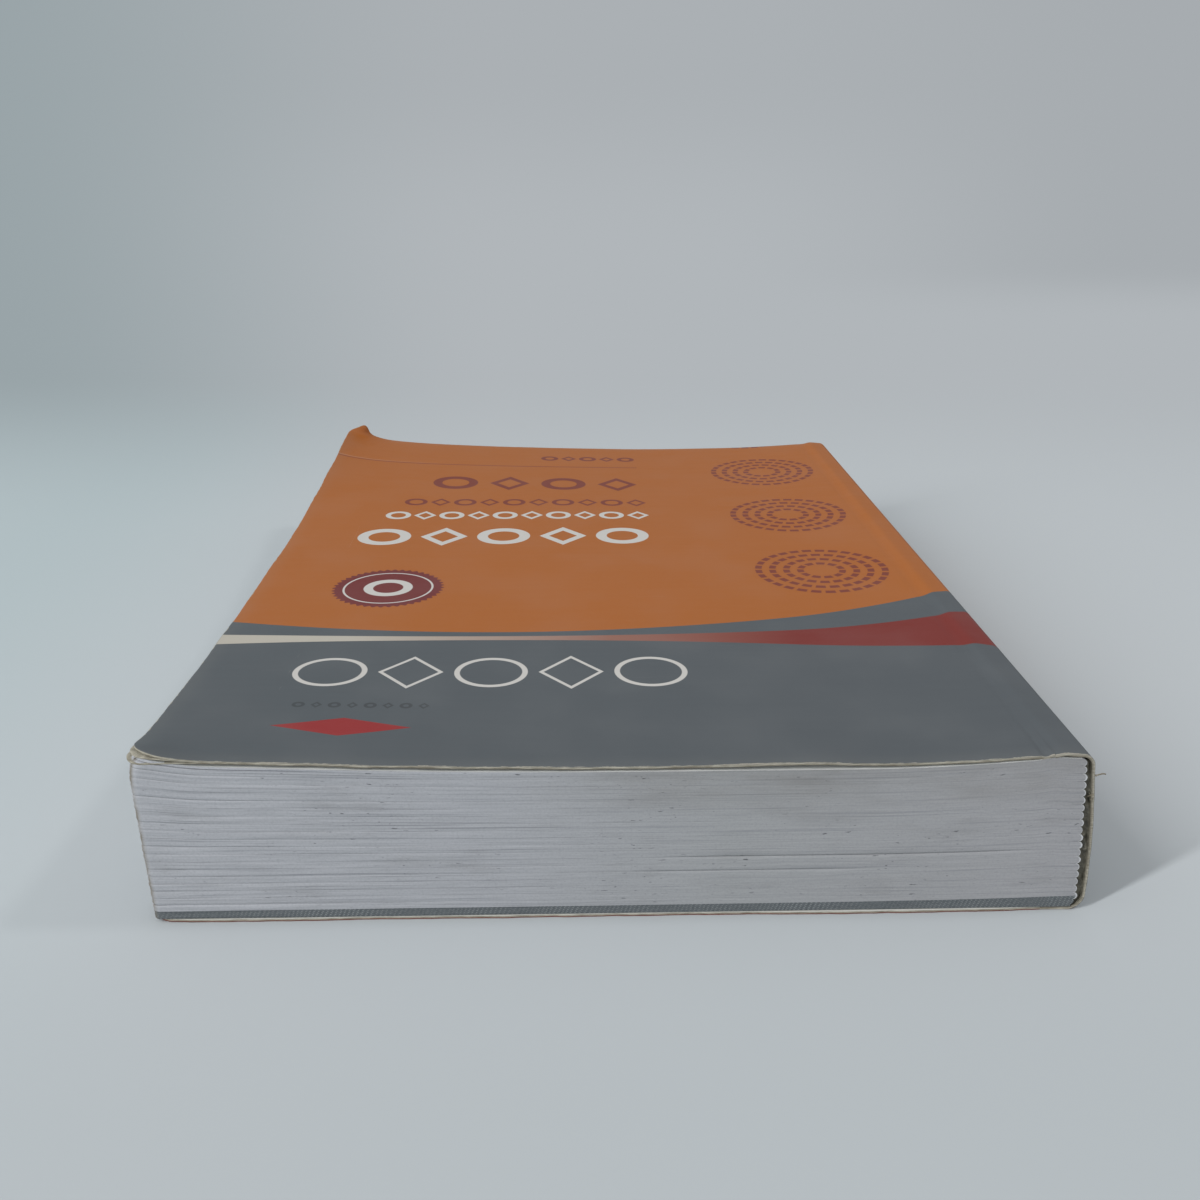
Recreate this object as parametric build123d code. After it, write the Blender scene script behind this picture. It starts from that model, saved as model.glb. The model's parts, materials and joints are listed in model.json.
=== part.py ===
"""A thick, well-used paperback lying closed on its back cover.

Millimetres, +Z up. The origin is the centre of the footprint, on the surface that the book lies on.
X runs from the fore-edge (-X) to the spine (+X), and Y runs along the spine, from the head (-Y) to the tail.
The wrap cover is one printed card. It is split at its two score lines, because there it really hinges:
front_cover and back_cover swing, and spine_cover is the glued stretch between the scores.
"""

from build123d import *
from math import exp
import os

# Driving dimensions
WIDTH = 148.0  # trimmed width at mid-height
DEPTH = 210.0  # trimmed length of the spine
MID_THICKNESS = 26.7  # over both covers, in the middle of the boards
CREASE_HEIGHT = 27.6  # outer face of the front cover at its score line
CARD = 0.5  # cover card
FORE_LEAN = 1.0  # the fore-edge overhangs this much at the top
SPINE_LEAN = 2.2  # the spine steps back this much at the top
GLUED_STRIP = 7.0  # from the spine to each score line
STRIP_BULGE = 0.45  # the glued strip swells over the section folds
GLUE = 1.0  # adhesive between the section folds and the card
GLUE_RECESS = 1.3  # the adhesive stops short of head and tail
SECTIONS = 20  # folded sections of 16 leaves
FOLD_BULGE = 0.6  # how far each fold stands out between its notches
CLEAR = 0.12  # air between the block and the card around it
PAGE_FOLLOW = 0.45  # share of the cover's curl that the top leaves have taken on
SEAM = 0.05  # air at each score line, so that the panels turn freely
TOP_SPINE_RADIUS = 1.6
BOTTOM_SPINE_RADIUS = 2.3
WORN_CORNER = 4.0  # near corner of the front cover, rubbed round
CORNER = 1.2  # the other trimmed corners
STATIONS = (0.0, 0.07, 0.2, 0.4, 0.58, 0.72, 0.84, 0.93, 1.0)  # of DEPTH, where the front cover is drawn
CHORDS = (0.0, 0.03, 0.08, 0.16, 0.3, 0.5, 0.75, 1.0)  # of the panel's width, where its height is set

# Worked out from them
FORE_X = -(WIDTH + (FORE_LEAN + SPINE_LEAN) / 2) / 2  # top of the fore-edge
SPINE_X = -FORE_X  # bottom of the spine
SPINE_TOP_X = SPINE_X - SPINE_LEAN
SPINE_TOP_Z = CREASE_HEIGHT + STRIP_BULGE
FRONT_CREASE_X = SPINE_TOP_X - GLUED_STRIP
BACK_CREASE_X = SPINE_X - GLUED_STRIP - 1.0
HEAD_Y = -DEPTH / 2
PANEL_WIDTH = FRONT_CREASE_X - SEAM - FORE_X
BLOCK_BOTTOM = CARD + CLEAR


def smooth(t):
    """0 before t = 0, 1 after t = 1, and an easy S between."""
    t = min(max(t, 0.0), 1.0)
    return t * t * (3 - 2 * t)


def board_height(x):
    """Outer face of the front cover away from its curled corners: flat, rising towards the swollen spine."""
    return MID_THICKNESS + (CREASE_HEIGHT - MID_THICKNESS) * smooth((x - 20.0) / (FRONT_CREASE_X - 20.0))


def curl(x, y):
    """How far handling has lifted the front cover above the flat board."""
    across, along = x - FORE_X, y - HEAD_Y
    fade = 1 - smooth((x + 10.0) / 60.0)
    head = 1.6 * exp(-((across / 38) ** 2) - (along / 34) ** 2) + 1.4 * exp(-(across**2 + along**2) / 36)
    rise = max(0.0, (along - 115.0) / 95.0)
    tail = 2.0 * exp(-((across / 40) ** 2)) * smooth(rise) + 4.8 * exp(-across / 9) * rise**1.5
    return (head + tail) * fade


def height_row(station, share, drop):
    """Points across the board at a share of the depth, with a share of the curl, lowered by a drop."""
    y = HEAD_Y + DEPTH * station
    xs = [FORE_X + PANEL_WIDTH * chord for chord in CHORDS]
    return [(x, y, board_height(x) + share * curl(x, y) - drop) for x in xs]


def cover_section(station):
    """The front cover's cross-section at a share of the depth: two splines a card apart."""
    top = height_row(station, 1.0, 0.0)
    under = height_row(station, 1.0, CARD)
    edges = [Spline(*top), Line(top[-1], under[-1]), Spline(*reversed(under)), Line(under[0], top[0])]
    return Face(Wire(edges))


def page_section(station):
    """The space for the leaves at a share of the depth, up to the spine and up to the card above."""
    top = height_row(station, PAGE_FOLLOW, CARD + CLEAR)
    y, high = top[0][1], SPINE_TOP_Z - CARD - CLEAR
    around = [
        top[-1],
        (FRONT_CREASE_X + 3.0, y, high),
        (SPINE_X, y, high),
        (SPINE_X, y, BLOCK_BOTTOM),
        (FORE_X, y, BLOCK_BOTTOM),
        top[0],
    ]
    return Face(Wire([Spline(*top)] + [Line(a, b) for a, b in zip(around, around[1:])]))


def trimmed_outline(left, right, head_radius, tail_radius):
    """A tall prism over the trimmed plan, with its two fore-edge corners rounded."""
    plan = Pos((left + right) / 2, 0) * Rectangle(right - left, DEPTH)
    fore = plan.vertices().filter_by(lambda v: v.X < (left + right) / 2).sort_by(Axis.Y)
    plan = fillet(fore[0], head_radius)
    fore = plan.vertices().filter_by(lambda v: abs(v.X - left) < 1e-6).sort_by(Axis.Y)
    plan = fillet(fore[-1], tail_radius)
    return extrude(plan, 60.0, both=True)


def front_cover():
    """The swinging front panel, with the head corner lifted and rubbed round and the tail corner curled up."""
    panel = loft([cover_section(station) for station in STATIONS])
    return panel & trimmed_outline(FORE_X, FRONT_CREASE_X, WORN_CORNER, CORNER)


def back_cover():
    """The swinging back panel, flat on the table."""
    plate = Pos((FORE_X + FORE_LEAN + BACK_CREASE_X - SEAM) / 2, 0, CARD / 2) * Box(
        BACK_CREASE_X - SEAM - FORE_X - FORE_LEAN, DEPTH, CARD
    )
    return plate & trimmed_outline(FORE_X + FORE_LEAN, BACK_CREASE_X, CORNER, CORNER)


def spine_profile(inset):
    """Closed outline of the spine end of the book in the XZ plane, drawn inset from the outside of the card."""
    corners = [
        (BACK_CREASE_X - 10, inset),
        (SPINE_X - inset, inset),
        (SPINE_TOP_X - inset, SPINE_TOP_Z - inset),
        (FRONT_CREASE_X + 3.0, SPINE_TOP_Z - inset),
        (FRONT_CREASE_X, CREASE_HEIGHT - inset),
        (BACK_CREASE_X - 10, CREASE_HEIGHT - inset),
    ]
    radii = {1: BOTTOM_SPINE_RADIUS - inset, 2: TOP_SPINE_RADIUS - inset, 3: 2.5}
    outline = make_face(Polyline(*corners, close=True))
    for index, radius in radii.items():
        corner = Vector(*corners[index])
        outline = fillet(outline.vertices().sort_by_distance(corner)[0], radius)
    return outline


def spine_cover():
    """The glued stretch of the card: two narrow strips and the spine between them, as one folded piece."""
    beyond = make_face(
        Polyline(
            (BACK_CREASE_X, -1), (SPINE_X + 5, -1), (SPINE_X + 5, 40), (FRONT_CREASE_X, 40), (FRONT_CREASE_X, 12),
            (BACK_CREASE_X, 12), close=True,
        )
    )
    card = (spine_profile(0.0) - spine_profile(CARD)) & beyond
    return extrude(Plane.XZ * card, DEPTH / 2, both=True)


def fold_line(z):
    """Where the notches between the section folds lie, at height z."""
    share = z / SPINE_TOP_Z
    return SPINE_X - SPINE_LEAN * share - CARD - GLUE - FOLD_BULGE


def page_block():
    """All the leaves as one solid: leaning fore-edge, dished top, and a row of rounded section folds."""
    low_z, high_z = BLOCK_BOTTOM, SPINE_TOP_Z - CARD - CLEAR
    pitch = (high_z - low_z) / SECTIONS
    lean = FORE_LEAN / SPINE_TOP_Z
    edges = [
        Line((fold_line(high_z), high_z), (fold_line(high_z), high_z + 10)),
        Line((fold_line(high_z), high_z + 10), (FORE_X - 10 * lean, high_z + 10)),
        Line((FORE_X - 10 * lean, high_z + 10), (FORE_X + FORE_LEAN, low_z)),
        Line((FORE_X + FORE_LEAN, low_z), (fold_line(low_z), low_z)),
    ]
    for i in range(SECTIONS):
        low, high = low_z + i * pitch, low_z + (i + 1) * pitch
        tip = (fold_line((low + high) / 2) + FOLD_BULGE, (low + high) / 2)
        edges.append(ThreePointArc((fold_line(low), low), tip, (fold_line(high), high)))
    prism = extrude(Plane.XZ * make_face(edges), DEPTH / 2, both=True)
    stack = loft([page_section(station) for station in STATIONS])
    return prism & stack & trimmed_outline(FORE_X - 10 * lean, SPINE_X, CORNER, CORNER)


def spine_glue(block):
    """Adhesive that fills the notches between the folds and holds the card on."""
    inner = spine_profile(CARD)
    low, high = BLOCK_BOTTOM + 0.6, SPINE_TOP_Z - CARD - CLEAR - 0.4
    band = make_face(
        Polyline(
            (fold_line(low) - 0.2, low), (SPINE_X + 5, low), (SPINE_X + 5, high), (fold_line(high) - 0.2, high),
            close=True,
        )
    )
    layer = extrude(Plane.XZ * (inner & band), DEPTH / 2 - GLUE_RECESS, both=True)
    return layer - block


def main():
    """Builds every node, checks that it is one sound solid and writes it."""
    os.makedirs("parts", exist_ok=True)
    block = page_block()
    nodes = {
        "front_cover": front_cover(),
        "spine_cover": spine_cover(),
        "back_cover": back_cover(),
        "page_block": block,
        "spine_glue": spine_glue(block),
    }
    for name, shape in nodes.items():
        solid = max(shape.solids(), key=lambda s: s.volume)
        print(name, "solids", len(shape.solids()), "volume", round(solid.volume), "valid", solid.is_valid)
        export_step(solid, f"parts/{name}.step")
    print("front hinge at", round(FRONT_CREASE_X, 3), CREASE_HEIGHT, "back hinge at", round(BACK_CREASE_X, 3), 0)


main()
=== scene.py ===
"""Looks for a thick, well-used paperback: printed card cover, folded leaves, adhesive and frayed edges.

X runs from the fore-edge to the spine, Y from head to tail and Z up from the table. Shapes are worked out in
millimetres and placed in metres.
"""

import json
import logging
from collections.abc import Callable
from dataclasses import dataclass
from enum import Enum
from math import pi, radians

import bpy
import numpy as np
from mathutils import Matrix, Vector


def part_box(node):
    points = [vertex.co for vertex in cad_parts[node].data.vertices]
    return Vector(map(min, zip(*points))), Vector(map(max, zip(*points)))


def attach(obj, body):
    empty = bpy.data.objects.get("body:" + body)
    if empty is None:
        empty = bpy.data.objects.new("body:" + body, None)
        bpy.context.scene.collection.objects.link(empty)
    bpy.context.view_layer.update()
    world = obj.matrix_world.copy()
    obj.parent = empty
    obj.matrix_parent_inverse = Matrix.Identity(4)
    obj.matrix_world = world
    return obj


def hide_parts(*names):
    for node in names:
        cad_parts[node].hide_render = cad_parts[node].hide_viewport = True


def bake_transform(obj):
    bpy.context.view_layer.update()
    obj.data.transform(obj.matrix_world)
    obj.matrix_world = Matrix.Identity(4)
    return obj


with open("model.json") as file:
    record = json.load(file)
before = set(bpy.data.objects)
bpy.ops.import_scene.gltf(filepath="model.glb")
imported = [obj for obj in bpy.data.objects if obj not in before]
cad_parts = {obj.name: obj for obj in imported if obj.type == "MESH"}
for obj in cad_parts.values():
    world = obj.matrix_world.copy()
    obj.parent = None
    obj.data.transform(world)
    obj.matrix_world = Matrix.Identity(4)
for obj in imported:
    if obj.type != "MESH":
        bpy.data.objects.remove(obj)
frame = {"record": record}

MM = 0.001
CHART = "Chart"  # the unfolded card or the squared-up leaves, in metres
LOG = logging.getLogger("paperback")
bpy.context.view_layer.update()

Array = np.ndarray
Socket = bpy.types.NodeSocket


# ---------------------------------------------------------------- measures


def ease(t: Array) -> Array:
    """0 up to t = 0, 1 from t = 1, and an easy S between."""
    t = np.clip(t, 0.0, 1.0)
    return t * t * (3 - 2 * t)


def ripple(x: Array, y: Array, length: float, seed: int) -> Array:
    """A gentle, irregular wave over a sheet.

    Args:
        x: Places across, in mm.
        y: Places along, in mm.
        length: The usual distance between crests, in mm.
        seed: Which wave; the same seed gives the same one.

    Returns:
        Heights between about -1 and 1.
    """
    chance = np.random.default_rng(seed)
    total = np.zeros(np.broadcast(x, y).shape)
    turns = chance.uniform(0, pi, 6)
    stretches = chance.uniform(0.6, 1.7, 6)
    starts = chance.uniform(0, 2 * pi, 6)
    for turn, stretch, start in zip(turns, stretches, starts):
        total += np.sin((x * np.cos(turn) + y * np.sin(turn)) * 2 * pi / (length * stretch) + start)
    return total / 3.0


def joint_place(name: str) -> tuple[float, float]:
    """Where a cover's hinge line crosses the XZ plane, in mm."""
    place = next(j for j in frame["record"]["behaviour"]["joints"] if j["name"] == name)["pos_m"]
    return place[0] / MM, place[2] / MM


@dataclass
class BookShape:
    """Sizes that the cover, the leaves and the adhesive share, in mm."""

    fore_x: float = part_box("front_cover")[0][0] / MM
    head_y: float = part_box("page_block")[0][1] / MM
    tail_y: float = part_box("page_block")[1][1] / MM
    front_crease: tuple[float, float] = joint_place("front_cover_hinge")
    back_crease: tuple[float, float] = joint_place("back_cover_hinge")
    card: float = 0.5
    air: float = 0.12
    middle: float = 26.7
    rise_from: float = 36.0
    rise: float = 1.1
    bulge: float = 0.5
    settle: float = 0.25
    fore_lean: float = 1.0
    spine_lean: float = 1.8
    sections: int = 20
    fold: float = 0.62
    glue: float = 0.75

    @property
    def spine_x(self) -> float:
        """Outside of the spine at the table."""
        return -self.fore_x

    @property
    def top_z(self) -> float:
        """Outside of the swollen strip, where it turns down into the spine."""
        return self.middle + self.rise + self.bulge - self.settle

    def swell(self, z: Array) -> Array:
        """How far the spine bows outwards at a height."""
        return 0.7 * np.sin(pi * np.clip(z / self.top_z, 0.0, 1.0))

    def board(self, x: Array) -> Array:
        """Outer face of the front cover with its corners flat, and of the glued strip beyond the score."""
        crease_x = self.front_crease[0]
        climb = np.clip((x - self.rise_from) / (crease_x - self.rise_from), 0.0, 1.0)
        flat = self.middle + self.rise * climb**2
        beyond = x - crease_x
        strip = self.bulge * ease((beyond - 0.1) / 2.6) - self.settle * ease((beyond - 2.6) / 3.4)
        return flat + strip

    def curl(self, x: Array, y: Array, ear: bool = True) -> Array:
        """How far handling has lifted the front cover.

        Args:
            x: Places across, in mm.
            y: Places along, in mm.
            ear: Whether to turn up the tip of the tail corner too.

        Returns:
            Heights above the flat board, in mm.
        """
        across, along = x - self.fore_x, y - self.head_y
        rise = np.clip((along - 115.0) / 95.0, 0.0, None)
        head = 1.8 * np.exp(-((across / 38) ** 2) - (along / 37) ** 2)
        head = head + 1.5 * np.exp(-(across**2 + along**2) / 42)
        tail = 2.0 * np.exp(-((across / 42) ** 2)) * ease(rise) + 4.0 * np.exp(-across / 9) * rise**1.35
        turned = np.clip(((along - 186.0) * 12.4 - across * 24.0) / 27.0, 0.0, None) if ear else 0.0
        return (head + tail) * (1 - ease((x + 10.0) / 60.0)) + 0.05 * turned + 0.006 * turned**2

    def outside(self, x: Array, y: Array) -> Array:
        """Outer face of the front cover as it lies, with its small waves."""
        loose = 1 - ease((x - 45.0) / 20.0)
        edge = np.exp(-(((y - self.head_y) / 9.0) ** 2))
        buckle = 0.18 + 0.4 * np.exp(-(((x - 30.0) / np.where(x < 30.0, 15.0, 5.0)) ** 2))
        dish = 0.42 * ease(y / 90.0) * np.exp(-(((x - 18.0) / 20.0) ** 2))
        waves = 0.04 * ripple(x, y, 46.0, 3) * loose + 0.04 * ripple(x, y, 11.0, 4) * edge * loose
        scored = np.exp(-(((x - self.front_crease[0] + 0.3) / 0.55) ** 2)) * (0.05 + 0.2 * edge)
        return self.board(x) + self.curl(x, y) + waves + buckle * edge - dish - scored

    def fold_line(self, z: Array) -> Array:
        """Where the notches between the section folds lie, at a height."""
        outside = self.spine_x - self.spine_lean * z / self.top_z + 0.22 * np.sin(pi * z / self.top_z)
        return outside - self.card - self.glue - self.fold


BOOK = BookShape()


def round_corner(across: Array, along: Array, radius: float) -> tuple[Array, Array]:
    """Draws the corner of a square-cut sheet in to a round one.

    Args:
        across: Distances from one edge, in mm.
        along: Distances from the other edge, in mm.
        radius: The corner's radius, in mm.

    Returns:
        The same distances, moved where they lie within the corner.
    """
    u, v = np.clip(1 - across / radius, 0, None), np.clip(1 - along / radius, 0, None)
    reach = np.hypot(u, v)
    pull = np.where(reach > 0, np.maximum(u, v) / np.where(reach > 0, reach, 1.0), 1.0)
    inside = (u > 0) & (v > 0)
    across = np.where(inside, radius * (1 - u * pull), across)
    along = np.where(inside, radius * (1 - v * pull), along)
    return across, along


# ---------------------------------------------------------------- modelling


def let_go() -> None:
    """Deselects everything, in Object Mode."""
    if bpy.context.object and bpy.context.object.mode != "OBJECT":
        bpy.ops.object.mode_set(mode="OBJECT")
    bpy.ops.object.select_all(action="DESELECT")


def pick(*objects: bpy.types.Object) -> bpy.types.Object:
    """Selects these objects alone and makes the first active."""
    let_go()
    for obj in objects:
        obj.select_set(True)
    bpy.context.view_layer.objects.active = objects[0]
    return objects[0]


def lay_sheet(
    name: str, columns: int, rows: int, place: Callable[[Array, Array], tuple[Array, Array]]
) -> bpy.types.Object:
    """Adds a grid and shapes it.

    Args:
        name: The object's name.
        columns: Faces along the grid's first side.
        rows: Faces along its second side.
        place: Takes the two shares of the grid's sides, and returns points and chart places, in mm.

    Returns:
        The sheet, with its chart as a UV map.
    """
    let_go()
    bpy.ops.mesh.primitive_grid_add(x_subdivisions=columns, y_subdivisions=rows, size=1.0, location=(0, 0, 0))
    sheet = bpy.context.object
    sheet.name = sheet.data.name = name
    mesh = sheet.data
    flat = np.empty(len(mesh.vertices) * 3)
    mesh.vertices.foreach_get("co", flat)
    flat = flat.reshape(-1, 3) + 0.5
    points, chart = place(flat[:, 0], flat[:, 1])
    mesh.vertices.foreach_set("co", (points * MM).ravel())
    corners = np.empty(len(mesh.loops), dtype=np.int32)
    mesh.loops.foreach_get("vertex_index", corners)
    mesh.uv_layers[0].name = CHART
    mesh.uv_layers[0].data.foreach_set("uv", (chart[corners] * MM).ravel())
    mesh.update()
    return sheet


def apply(obj: bpy.types.Object, kind: str, **settings: object) -> None:
    """Adds a modifier with these settings and applies it."""
    pick(obj)
    modifier = obj.modifiers.new(kind.title(), kind)
    for name, value in settings.items():
        setattr(modifier, name, value)
    bpy.ops.object.modifier_apply(modifier=modifier.name)


def dress(obj: bpy.types.Object, *materials: bpy.types.Material) -> None:
    """Gives the object these materials, in slot order."""
    obj.data.materials.clear()
    for material in materials:
        obj.data.materials.append(material)


def weld(obj: bpy.types.Object, distance: float = 0.002 * MM) -> None:
    """Merges doubled vertices and turns every face outwards."""
    pick(obj)
    bpy.ops.object.mode_set(mode="EDIT")
    bpy.ops.mesh.select_all(action="SELECT")
    bpy.ops.mesh.remove_doubles(threshold=distance)
    bpy.ops.mesh.normals_make_consistent(inside=False)
    bpy.ops.object.mode_set(mode="OBJECT")


def smooth(obj: bpy.types.Object, degrees: float = 40.0) -> None:
    """Shades smoothly across edges that turn less than this."""
    pick(obj)
    bpy.ops.object.shade_smooth_by_angle(angle=radians(degrees))


def join(name: str, *parts: bpy.types.Object) -> bpy.types.Object:
    """Joins parts into the first, under a new name."""
    whole = pick(*parts)
    if len(parts) > 1:
        bpy.ops.object.join()
    whole.name = whole.data.name = name
    return whole


# ---------------------------------------------------------------- shader short-hand


def colour(red: float, green: float, blue: float) -> tuple[float, float, float, float]:
    """A colour as a screen shows it, 0 to 255, in the renderer's terms."""
    shown = (c / 255 for c in (red, green, blue))
    return (*(c / 12.92 if c <= 0.04045 else ((c + 0.055) / 1.055) ** 2.4 for c in shown), 1.0)


@dataclass(frozen=True)
class Term:
    """A number inside a shader, so that a pattern reads like its formula."""

    bench: "Bench"
    socket: Socket

    def __add__(self, other: "Term | float") -> "Term":
        """Sum."""
        return self.bench.math("ADD", self, other)

    def __sub__(self, other: "Term | float") -> "Term":
        """Difference."""
        return self.bench.math("SUBTRACT", self, other)

    def __rsub__(self, other: float) -> "Term":
        """Difference from a plain number."""
        return self.bench.math("SUBTRACT", other, self)

    def __mul__(self, other: "Term | float") -> "Term":
        """Product."""
        return self.bench.math("MULTIPLY", self, other)

    def __pow__(self, other: float) -> "Term":
        """Power."""
        return self.bench.math("POWER", self, other)

    def size(self) -> "Term":
        """Distance from zero."""
        return self.bench.math("ABSOLUTE", self)

    def least(self, other: "Term | float") -> "Term":
        """The smaller of two."""
        return self.bench.math("MINIMUM", self, other)

    def most(self, other: "Term | float") -> "Term":
        """The larger of two."""
        return self.bench.math("MAXIMUM", self, other)

    def within(self, limit: "Term | float", soft: float) -> "Term":
        """1 well below the limit, 0 above it, with an edge this soft."""
        return self.bench.math("MULTIPLY_ADD", self - limit, -1.0 / soft, 0.5, clamp=True)


class Bench:
    """Lays nodes in one tree."""

    def __init__(self, tree: bpy.types.NodeTree) -> None:
        """Starts with an empty tree."""
        self.tree = tree
        tree.nodes.clear()

    def node(self, kind: str, **settings: object) -> bpy.types.Node:
        """Adds a node of the kind, with these settings."""
        made = self.tree.nodes.new("ShaderNode" + kind)
        for name, value in settings.items():
            setattr(made, name, value)
        return made

    def put(self, socket: Socket, value: object) -> None:
        """Links a term or a socket to a socket, or sets a plain value."""
        value = value.socket if isinstance(value, Term) else value
        if isinstance(value, Socket):
            self.tree.links.new(value, socket)
        else:
            socket.default_value = value

    def math(self, operation: str, *values: "Term | float", clamp: bool = False) -> Term:
        """One Math node on these values."""
        made = self.node("Math", operation=operation, use_clamp=clamp)
        for socket, value in zip(made.inputs, values):
            self.put(socket, value)
        return Term(self, made.outputs[0])

    def mix(self, share: "Term | float", first: object, second: object) -> Socket:
        """The first colour, going over to the second by a share."""
        made = self.node("Mix", data_type="RGBA")
        for index, value in ((0, share), (6, first), (7, second)):
            self.put(made.inputs[index], value)
        return made.outputs[2]

    def ramp(self, value: Term, *stops: tuple[float, tuple[float, float, float, float]]) -> Socket:
        """A colour that runs through stops, from 0 to 1."""
        made = self.node("ValToRGB")
        steps = made.color_ramp.elements
        while len(steps) < len(stops):
            steps.new(0.5)
        for step, (place, tint) in zip(steps, stops):
            step.position, step.color = place, tint
        self.put(made.inputs[0], value)
        return made.outputs[0]

    def spread(
        self, value: "Term | Socket", low: float, high: float, start: float = 0.0, end: float = 1.0
    ) -> Term:
        """Runs from start to end as the value goes from low to high, and no further."""
        made = self.node("MapRange", interpolation_type="SMOOTHSTEP")
        for socket, given in zip(made.inputs, (value, low, high, start, end)):
            self.put(socket, given)
        return Term(self, made.outputs[0])

    def chart(self) -> Socket:
        """The piece's own chart."""
        return self.node("UVMap", uv_map=CHART).outputs[0]

    def split(self, vector: Socket) -> tuple[Term, Term, Term]:
        """The three parts of a vector."""
        made = self.node("SeparateXYZ")
        self.put(made.inputs[0], vector)
        return tuple(Term(self, out) for out in made.outputs)

    def stretch(self, vector: Socket, *scale: float) -> Socket:
        """The vector with each part multiplied."""
        made = self.node("VectorMath", operation="MULTIPLY")
        self.put(made.inputs[0], vector)
        made.inputs[1].default_value = scale
        return made.outputs[0]

    def noise(self, vector: Socket, scale: float, detail: float = 2.0, rough: float = 0.5) -> Term:
        """Soft noise from 0 to 1, centred on 0.5."""
        made = self.node("TexNoise")
        for name, value in (("Vector", vector), ("Scale", scale), ("Detail", detail), ("Roughness", rough)):
            self.put(made.inputs[name], value)
        return Term(self, made.outputs[0])

    def bump(self, height: Term, distance: float, strength: float = 1.0) -> Socket:
        """A normal from a height."""
        made = self.node("Bump")
        for name, value in (("Height", height), ("Distance", distance), ("Strength", strength)):
            self.put(made.inputs[name], value)
        return made.outputs[0]

    def group(self, tree: bpy.types.NodeTree, **values: object) -> bpy.types.Node:
        """Places a group with these inputs; spaces in their names are written as underscores."""
        made = self.node("Group", node_tree=tree)
        for name, value in values.items():
            self.put(made.inputs[name.replace("_", " ")], value)
        return made


class EffectGroup:
    """A shader group with named inputs and outputs."""

    def __init__(self, name: str, inputs: dict[str, str], outputs: dict[str, str]) -> None:
        """Makes the group's sockets.

        Args:
            name: The group's name.
            inputs: Socket type by name, without its NodeSocket prefix.
            outputs: The same for what comes out.
        """
        self.tree = bpy.data.node_groups.new(name, "ShaderNodeTree")
        for direction, sockets in (("INPUT", inputs), ("OUTPUT", outputs)):
            for label, kind in sockets.items():
                self.tree.interface.new_socket(label, in_out=direction, socket_type="NodeSocket" + kind)
        self.bench = Bench(self.tree)
        self.taken = self.tree.nodes.new("NodeGroupInput")
        self.given = self.tree.nodes.new("NodeGroupOutput")

    def term(self, name: str) -> Term:
        """One of the group's inputs, as a number."""
        return Term(self.bench, self.taken.outputs[name])

    def give(self, name: str, value: object) -> None:
        """Connects one of the group's outputs."""
        self.bench.put(self.given.inputs[name], value)


def make_material(name: str) -> tuple[Bench, bpy.types.Material, bpy.types.Node]:
    """Starts a material.

    Args:
        name: What the finish is called.

    Returns:
        Its bench, the material, and its Principled shader, already on the output.
    """
    material = bpy.data.materials.new(name)
    material.use_nodes = True
    bench = Bench(material.node_tree)
    shader = bench.node("BsdfPrincipled")
    bench.put(bench.node("OutputMaterial").inputs[0], shader.outputs[0])
    return bench, material, shader


def paper_fibre_group() -> bpy.types.NodeTree:
    """Fibres and cloudiness of uncoated paper."""
    takes = {"Vector": "Vector", "Length": "Float"}
    effect = EffectGroup("Paper fibre", takes, {"Fibre": "Float", "Cloud": "Float"})
    bench, place = effect.bench, effect.taken.outputs["Vector"]
    scale = bench.math("DIVIDE", 1.0, effect.term("Length"))
    fine = bench.noise(place, 1.0, 4.0, 0.65)
    bench.put(fine.socket.node.inputs["Scale"], scale)
    cloud = bench.noise(place, 90.0, 3.0)
    effect.give("Fibre", fine)
    effect.give("Cloud", cloud)
    return effect.tree


def edge_rub_group(width: float, height: float) -> bpy.types.NodeTree:
    """How far the print is rubbed off near the card's edges and folds.

    Args:
        width: The unfolded card, fore-edge to fore-edge, in mm.
        height: The card from head to tail, in mm.

    Returns:
        The group: Rub is 1 where bare card shows.
    """
    effect = EffectGroup("Edge rub", {"Chart": "Vector", "Width": "Float"}, {"Rub": "Float", "Near": "Float"})
    bench, place = effect.bench, effect.taken.outputs["Chart"]
    across, along, _ = bench.split(place)
    inwards = across.least(width * MM - across).least(along).least(height * MM - along)
    patchy = bench.noise(place, 420.0, 4.0, 0.7)
    slow = bench.noise(place, 60.0, 2.0)
    reach = effect.term("Width") * (
        bench.spread(patchy, 0.35, 0.75) * 1.3 + bench.spread(slow, 0.4, 0.7) * 0.9
    )
    effect.give("Rub", bench.spread(inwards - reach, 0.00005, -0.00005))
    effect.give("Near", bench.spread(inwards, 0.004, 0.0))
    return effect.tree


# ---------------------------------------------------------------- finishes


class Ink(Enum):
    """Printing inks of the cover, as given to the finish. They look paler in the studio's light."""

    GREY = colour(79, 84, 88)
    ORANGE = colour(161, 91, 28)
    RED = colour(115, 36, 28)
    BRIGHT_RED = colour(140, 36, 36)
    SALMON = colour(140, 97, 82)
    OFF_WHITE = colour(178, 172, 160)
    MAROON = colour(106, 36, 34)
    PALE = colour(194, 191, 186)
    CHARCOAL = colour(52, 54, 57)


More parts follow.
